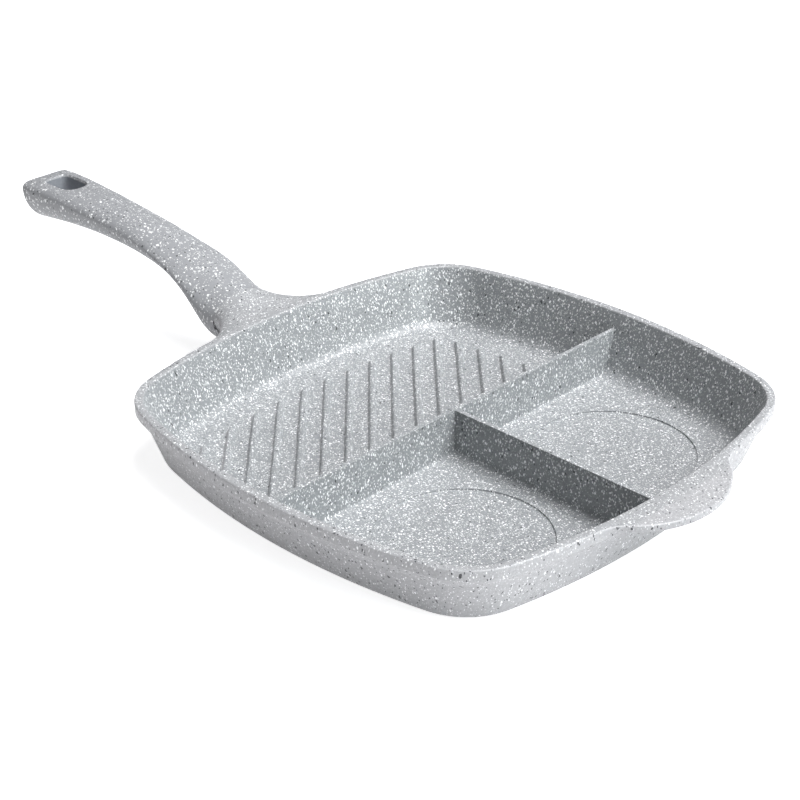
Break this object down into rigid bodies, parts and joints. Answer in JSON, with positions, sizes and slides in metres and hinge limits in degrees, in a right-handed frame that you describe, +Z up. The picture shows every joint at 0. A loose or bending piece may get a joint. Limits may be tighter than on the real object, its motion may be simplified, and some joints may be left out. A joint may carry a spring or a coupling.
{
  "type": "divided frying pan",
  "caption": "Square frying pan with bowed sides, a ribbed grill section, a T-shaped divider, two round-welled compartments, a helper tab and a long moulded handle.",
  "frame": {"origin": "middle of the flat underside, where the pan stands", "axes": "+X from the pan's middle to the handle, +Y to the side on the left when looking along the handle from the pan, +Z up out of the mouth"},
  "size_m": [0.5101, 0.28, 0.0647],
  "materials": {
    "pan_body": "cast, with a satin grey non-stick coating that carries pale and dark flecks",
    "handle": "heat-resistant moulding, soft matt grey with pale and dark flecks",
    "handle_insert": "plain",
    "handle_screw": "plain",
    "screw_washer": "plain"
  },
  "bodies": {
    "root": {"pan_body": "pan_body", "handle": "handle", "handle_insert": "handle_insert", "handle_screw": "handle_screw", "screw_washer": "screw_washer"}
  },
  "joints": []
}
